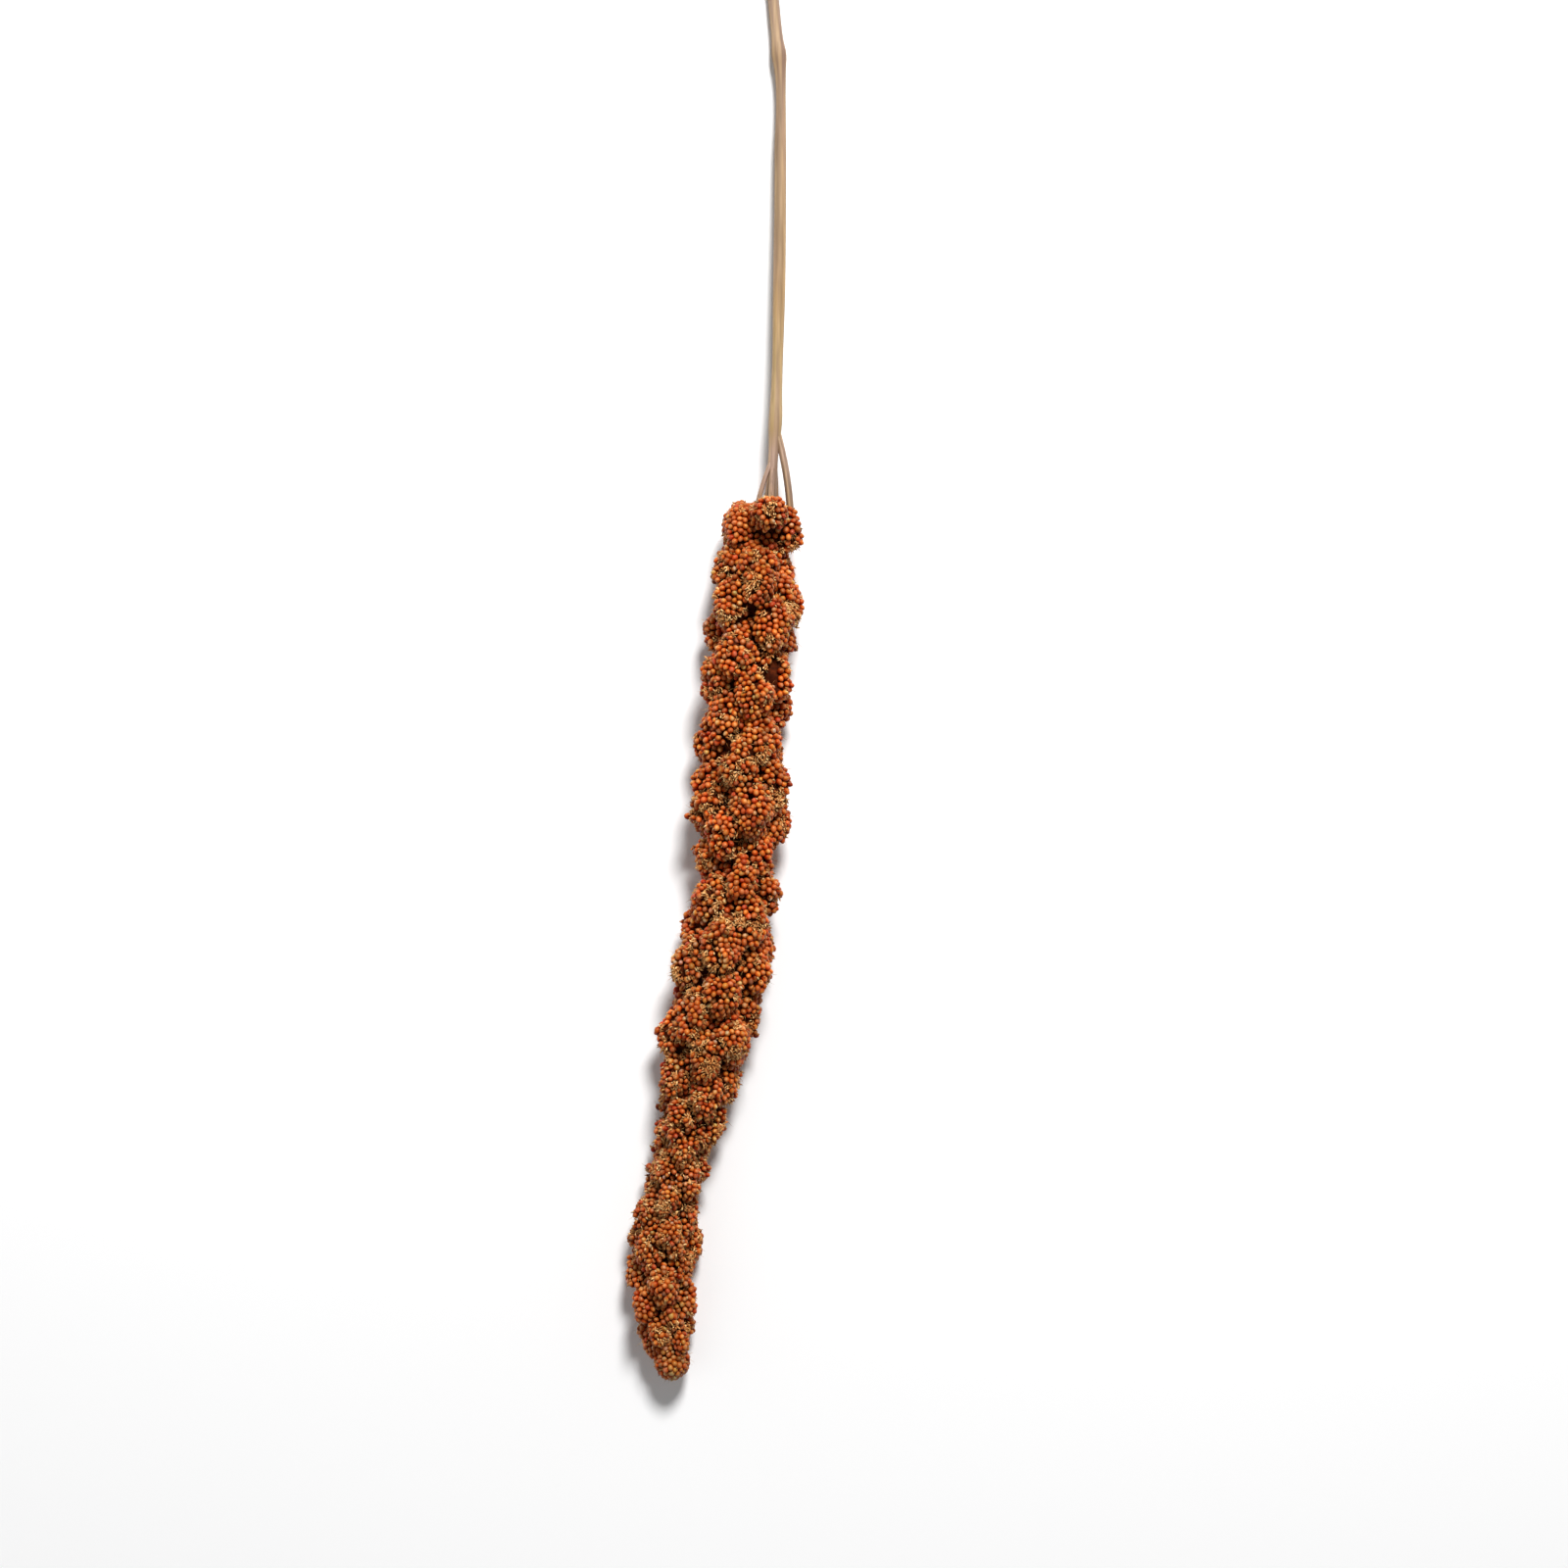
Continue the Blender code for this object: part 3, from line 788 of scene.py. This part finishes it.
def make_scales(middles, tips, normals, draw, looks):
    """Chaffy places: clusters of small pointed scales, where the grains have not filled or have dropped."""
    which = np.repeat(np.arange(len(middles)), SCALES_EACH)
    count = len(which)
    around = frames_along(normals[which], draw)
    offset = draw.uniform(*SCALE_OFFSET, (count, 1))
    offset[::SCALES_EACH] = 0
    turn = (np.tile(np.arange(SCALES_EACH), len(middles)) * math.tau / (SCALES_EACH - 1))[:, None]
    first = np.repeat(around[::SCALES_EACH], SCALES_EACH, 0)
    spot = (first[:, 0] * np.cos(turn) + first[:, 1] * np.sin(turn)) * offset
    spot += normals[which] * draw.uniform(*SCALE_LIFT, (count, 1))
    along = unit(tips[which] + draw.normal(0, SCALE_LEAN, (count, 3)))
    ball, faces = ball_mesh(1)
    point = 1 - SCALE_TAPER * np.clip(ball[:, 2], 0, 1)
    shape = np.column_stack([ball[:, 0] * point, ball[:, 1] * point, ball[:, 2]])
    sizes = np.array(SCALE_HALVES) * draw.uniform(*SCALE_SIZES, (count, 1))
    points = placed(shape, sizes, frames_along(along, draw), middles[which] + spot)
    pale = pick_colours(HUSK_COLOURS, count, draw) * draw.uniform(*SCALE_BRIGHTNESS, (count, 1))
    # Painted shade: each scale is darker and redder at its base, low among the grains.
    shade = np.stack([np.interp(ball[:, 2], SCALE_LENGTHWISE, shares) for shares in BASE_SHADE_SHARES], 1)
    return copies("scales", points, faces, pale[:, None] * shade, looks)


def make_husks(middles, tips, draw, looks):
    """Pale pointed husks that hug the grains from their bases."""
    outwards = unit(np.cross(tips, draw.normal(0, 1, tips.shape)))
    along = unit(tips + outwards * draw.uniform(*HUSK_LEAN, (len(tips), 1)))
    outwards = unit(outwards - along * (outwards * along).sum(1)[:, None])
    frames = np.stack([np.cross(outwards, along), outwards, along], 1)
    sizes = np.array(HUSK_HALVES) * draw.uniform(*HUSK_SIZES, (len(tips), 3))
    bases = middles - tips * HUSK_DOWN + outwards * HUSK_OUT
    shape = np.array(HUSK_RIM + HUSK_MIDDLES, float)
    rim = len(HUSK_RIM)
    faces = [((k + 1) % rim, k, rim) for k in range(rim)]
    faces += [(k, (k + 1) % rim, rim + 1) for k in range(rim)]
    points = placed(shape, sizes, frames, bases)
    pale = pick_colours(HUSK_COLOURS, len(tips), draw) * draw.uniform(*HUSK_BRIGHTNESS, (len(tips), 1))
    # Painted shade: each husk is darker and redder at its base, low among the grains.
    shade = np.stack([np.interp(shape[:, 2], HUSK_LENGTHWISE, shares) for shares in BASE_SHADE_SHARES], 1)
    return copies("husks", points, np.array(faces), pale[:, None] * shade, looks)


def make_bristles(middles, tips, draw, looks):
    """Short stiff hairs between the grains, thickest in the chaffy places."""
    count = len(middles)
    sideways = unit(np.cross(tips, draw.normal(0, 1, tips.shape)))
    along = unit(tips + sideways * draw.uniform(*BRISTLE_LEAN, (count, 1)))
    frames = frames_along(along, draw)
    length = draw.uniform(*BRISTLE_LENGTH, (count, 1))
    sizes = np.concatenate([np.full((count, 2), BRISTLE_RADIUS), length], 1)
    turns = np.arange(3) * math.tau / 3
    ring = np.column_stack([np.cos(turns), np.sin(turns), np.zeros(3)])
    shape = np.concatenate([ring, ring * BRISTLE_THIN + BRISTLE_BEND, [BRISTLE_END]])
    faces = [(0, 2, 1)]
    for k in range(3):
        after = (k + 1) % 3
        faces += [(k, after, 3 + after), (k, 3 + after, 3 + k), (3 + k, 3 + after, 6)]
    points = placed(shape, sizes, frames, middles + sideways * BRISTLE_OUT - tips * BRISTLE_DOWN)
    pale = pick_colours(HUSK_COLOURS, count, draw) * draw.uniform(*BRISTLE_BRIGHTNESS, (count, 1))
    return copies("bristles", points, np.array(faces), np.repeat(pale[:, None], len(shape), 1), looks)


def tube(route, radii, sides, ribs, rib_count):
    """Rings of points along a route, ribbed lengthwise, and the faces between them, closed at both ends."""
    route = np.array(route, float)
    side, up = square_to(unit(np.gradient(route, axis=0)))
    turns = np.arange(sides) * math.tau / sides
    rib = 1 + ribs * np.cos(rib_count * turns)
    across = side[:, None] * np.cos(turns)[None, :, None] + up[:, None] * np.sin(turns)[None, :, None]
    points = route[:, None] + across * (np.array(radii)[:, None] * rib)[:, :, None]
    faces = []
    for ring in range(len(route) - 1):
        for k in range(sides):
            low, high = ring * sides, (ring + 1) * sides
            after = (k + 1) % sides
            faces.append((low + k, high + k, high + after, low + after))
    faces.append(tuple(range(sides)))
    faces.append(tuple(range((len(route) - 1) * sides, len(route) * sides))[::-1])
    return points, faces


def stem_point(y):
    x, z, radius = smooth_line(STEM_LINE, [y])[0]
    return np.array((x, y, z)), radius


def straw_tints(points, streaks):
    """Straw colours for rings of points: from the place along the stem, with long streaks round it."""
    rings, sides = points.shape[:2]
    knots = np.array([y for y, colour in STEM_TINTS], float)
    colours = np.array([linear(*colour) for y, colour in STEM_TINTS])
    tints = np.stack([np.interp(points[:, :, 1], knots, colours[:, k]) for k in range(3)], 2)
    for number, streak in enumerate(STREAK_TINTS):
        for side in range(sides):
            turn = side * math.tau / sides
            spot = Vector((math.cos(turn) * streaks, math.sin(turn) * streaks, STREAK_STEP * number))
            for ring in range(rings):
                value = noise.noise(spot + Vector((0, 0, points[ring, side, 1] * STREAKS_ALONG)))
                share = STREAK_SHARE * min(max(value * STREAK_GROWTH, 0.0), 1.0)
                tints[ring, side] = tints[ring, side] * (1 - share) + np.array(streak) * share
    return tints.reshape(-1, 3)


def make_stem(looks):
    """The stem with its node, its pale pith at the cut, and the axis inside the head."""
    stations = [np.arange(start, end, -step) for start, end, step in STEM_STATIONS]
    places = np.concatenate([*stations, [STEM_LINE[-1][0]]])
    route = [stem_point(y)[0] for y in places]
    radii = [stem_point(y)[1] for y in places]
    points, faces = tube(route, radii, STEM_SIDES, STEM_RIB, STEM_RIBS)
    tints = straw_tints(points, STEM_STREAKS)
    centre = points[0].mean(0)
    rim = centre + (points[0] - centre) * RIM_WIDTH
    pith = centre + (points[0] - centre) * PITH_WIDTH - (0, PITH_DEPTH, 0)
    count = len(points) * STEM_SIDES
    # The rim and the pith take the place of the flat face at the cut.
    del faces[-2]
    for k in range(STEM_SIDES):
        after = (k + 1) % STEM_SIDES
        faces.append((k, after, count + after, count + k))
        faces.append((count + k, count + after, count + STEM_SIDES + after, count + STEM_SIDES + k))
    faces.append(tuple(count + STEM_SIDES + k for k in range(STEM_SIDES)))
    points = np.concatenate([points.reshape(-1, 3), rim, pith])
    tints = np.concatenate([tints, np.tile(PITH_TINT, (2 * STEM_SIDES, 1))])
    return mesh_piece("dry_stem", points, faces, looks, tints)


def make_strands(looks):
    """The stalks that leave the stem below the head, each of three strands that spread to the shoulder."""
    every, tints, faces = [], [], []
    for start_y, end, radius in STALKS:
        start = stem_point(start_y)[0]
        end = np.array(end)
        out = unit(end - stem_point(end[1])[0])
        across = unit(np.cross(out, end - start))
        steps = np.linspace(0, 1, STRAND_POINTS)
        middle = [start + (end - start) * t + out * STALK_BOW * math.sin(math.pi * t) for t in steps]
        for share, streaks in zip((-1, 0, 1), STRAND_STREAKS):
            spread = share * radius * (STRAND_SPREAD + STRAND_SPREADING * steps)
            route = np.array(middle) + across * spread[:, None]
            radii = np.full(len(route), radius * (OUTER_STRAND if share else MIDDLE_STRAND))
            points, own = tube(route, radii, STRAND_SIDES, STRAND_RIB, STRAND_RIBS)
            shift = sum(len(each) for each in every)
            faces += [tuple(index + shift for index in face) for face in own]
            tints.append(straw_tints(points, streaks))
            every.append(points.reshape(-1, 3))
    return mesh_piece("stem_strands", np.concatenate(every), faces, looks, np.concatenate(tints))


def node(tree, kind, **inputs):
    """A node with some of its sockets set or linked."""
    made = tree.nodes.new(kind)
    for name, value in inputs.items():
        socket = made.inputs[name.replace("_", " ")]
        if isinstance(value, bpy.types.NodeSocket):
            tree.links.new(value, socket)
        else:
            socket.default_value = value
    return made


def spotted(tree, scale, detail=2.0, stretch=(1, 1, 1)):
    """Noise from 0 to 1 in the object's own place, with this many spots a metre."""
    place = node(tree, "ShaderNodeTexCoord").outputs["Object"]
    turned = node(tree, "ShaderNodeMapping", Vector=place, Scale=stretch).outputs["Vector"]
    return node(tree, "ShaderNodeTexNoise", Vector=turned, Scale=scale, Detail=detail).outputs["Fac"]


def ranged(tree, value, low, high):
    """A noise's value, spread from low to high."""
    limits = {"To_Min": low, "To_Max": high}
    return node(tree, "ShaderNodeMapRange", Value=value, **NOISE_RANGE, **limits).outputs["Result"]


def scaled(tree, colour, factor):
    """A colour made lighter or darker by a number that varies over the surface."""
    made = tree.nodes.new("ShaderNodeVectorMath")
    made.operation = "SCALE"
    tree.links.new(colour, made.inputs[0])
    tree.links.new(factor, made.inputs["Scale"])
    return made.outputs[0]


def new_material(name, shine, specular):
    """A material with its specular level and tint set, its node tree and its shader."""
    made = bpy.data.materials.new(name)
    made.use_nodes = True
    shader = made.node_tree.nodes["Principled BSDF"]
    shader.inputs["Specular IOR Level"].default_value = specular
    shader.inputs["Specular Tint"].default_value = shine
    return made, made.node_tree, shader


def tinted_material(name, shine, specular, spots, rough, bump, stretch=(1, 1, 1), fine=FINE_BUMPS):
    """A surface with the colours set on the piece's points, painted shade and highlight among them on
    grains, husks and scales, mottled, and roughened by fine noise.
    """
    made, tree, shader = new_material(name, shine, specular)
    tint = tree.nodes.new("ShaderNodeVertexColor")
    tint.layer_name = "tint"
    mottle = ranged(tree, spotted(tree, spots, stretch=stretch), *MOTTLE)
    tree.links.new(scaled(tree, tint.outputs["Color"], mottle), shader.inputs["Base Color"])
    grain = spotted(tree, fine, detail=3.0, stretch=stretch)
    tree.links.new(ranged(tree, grain, *rough), shader.inputs["Roughness"])
    lift = node(tree, "ShaderNodeBump", Height=grain, Strength=BUMP_STRENGTH, Distance=bump * MM)
    tree.links.new(lift.outputs["Normal"], shader.inputs["Normal"])
    return made


def bed_material():
    """Near-black red-brown bed, painted shade for the seams between the grains, with lighter chaff spots in
    it.
    """
    made, tree, shader = new_material("bed chaff and painted shade", PEACH_SHINE, BED_SPECULAR)
    spots = spotted(tree, BED_SPOTS, detail=3.0)
    # Painted shade: the bed's near-black colour fills the seams and holes between the grains.
    ramp = tree.nodes.new("ShaderNodeValToRGB")
    ramp.color_ramp.elements[0].position = BED_SPOTS_FROM
    ramp.color_ramp.elements[0].color = (*BED_SHADE_COLOUR, 1)
    ramp.color_ramp.elements[1].position = BED_SPOTS_FULL
    ramp.color_ramp.elements[1].color = (*BED_SPOT_COLOUR, 1)
    tree.links.new(spots, ramp.inputs["Fac"])
    tree.links.new(ramp.outputs["Color"], shader.inputs["Base Color"])
    tree.links.new(ranged(tree, spots, *BED_ROUGHNESS), shader.inputs["Roughness"])
    lift = node(tree, "ShaderNodeBump", Height=spots, Strength=BED_BUMP_STRENGTH, Distance=BED_BUMP * MM)
    tree.links.new(lift.outputs["Normal"], shader.inputs["Normal"])
    return made


def make_camera():
    """A camera over the object, with the photograph's frame."""
    data = bpy.data.cameras.new("camera")
    data.lens = LENS
    data.sensor_width = SENSOR
    camera = bpy.data.objects.new("camera", data)
    height = HEAD_HEIGHT + PHOTO_SPAN * LENS / SENSOR
    camera.location = (PHOTO_MIDDLE[0] * MM, PHOTO_MIDDLE[1] * MM, height * MM)
    bpy.context.scene.collection.objects.link(camera)
    bpy.context.scene.camera = camera


def make_light(name, place, size, power):
    data = bpy.data.lights.new(name, "AREA")
    data.shape = "DISK"
    data.size = size
    data.energy = power
    light = bpy.data.objects.new(name, data)
    light.location = place
    light.rotation_euler = (-Vector(place)).to_track_quat("-Z", "Y").to_euler()
    bpy.context.scene.collection.objects.link(light)


def make_studio():
    """A plain pale floor under soft light."""
    bpy.ops.mesh.primitive_plane_add(size=FLOOR_SIZE, location=(0, 0, 0))
    floor = bpy.context.object
    floor.name = "floor"
    looks, tree, shader = new_material("pale floor", (1, 1, 1, 1), FLOOR_SPECULAR)
    shader.inputs["Base Color"].default_value = (FLOOR_GREY, FLOOR_GREY, FLOOR_GREY, 1)
    shader.inputs["Roughness"].default_value = FLOOR_ROUGHNESS
    floor.data.materials.append(looks)
    world = bpy.data.worlds.new("studio")
    world.use_nodes = True
    tree = world.node_tree
    place = tree.nodes.new("ShaderNodeTexCoord").outputs["Generated"]
    height = node(tree, "ShaderNodeSeparateXYZ", Vector=place).outputs["Z"]
    limits = {"From_Max": OVERHEAD_FROM, "To_Min": HORIZON, "To_Max": OVERHEAD}
    fall = node(tree, "ShaderNodeMapRange", Value=height, **limits)
    background = tree.nodes["Background"]
    background.inputs["Color"].default_value = (1, 1, 1, 1)
    tree.links.new(fall.outputs["Result"], background.inputs["Strength"])
    bpy.context.scene.world = world
    make_light("key", *KEY)
    make_light("fill", *FILL)
    bpy.context.scene.view_settings.view_transform = "Standard"


def build():
    """The studio, and every piece with the solid that it replaces and the body it rides on."""
    make_camera()
    make_studio()
    draw = np.random.default_rng(SEED)
    found = lobes()
    bed = make_bed(found, bed_material())
    middles, tips, normals = grain_places(found, draw)
    chaffy = draw.random(len(middles)) < chaffiness(middles)
    husked = ~chaffy & (draw.random(len(middles)) < np.interp(middles[:, 1], *HUSK_SHARE))
    hairy = chaffy | (draw.random(len(middles)) < BRISTLE_SHARE)
    grain_looks = tinted_material("millet grain", **GRAIN_FINISH)
    husk_looks = tinted_material("dry husk", **HUSK_FINISH)
    stem_looks = tinted_material("dry stem", **STEM_FINISH, **ALONG_STEM)
    grains = make_grains(middles[~chaffy], tips[~chaffy], normals[~chaffy], draw, grain_looks)
    scales = make_scales(middles[chaffy], tips[chaffy], normals[chaffy], draw, husk_looks)
    husks = make_husks(middles[husked], tips[husked], draw, husk_looks)
    bristles = make_bristles(middles[hairy], tips[hairy], draw, husk_looks)
    stem = make_stem(stem_looks)
    strands = make_strands(stem_looks)
    for piece in (*grains, bed):
        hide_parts("seed_head")
    for piece in (stem, strands):
        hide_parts("stem")
    for piece in (*grains, bed, scales, husks, bristles, stem, strands):
        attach(piece, "root")


build()
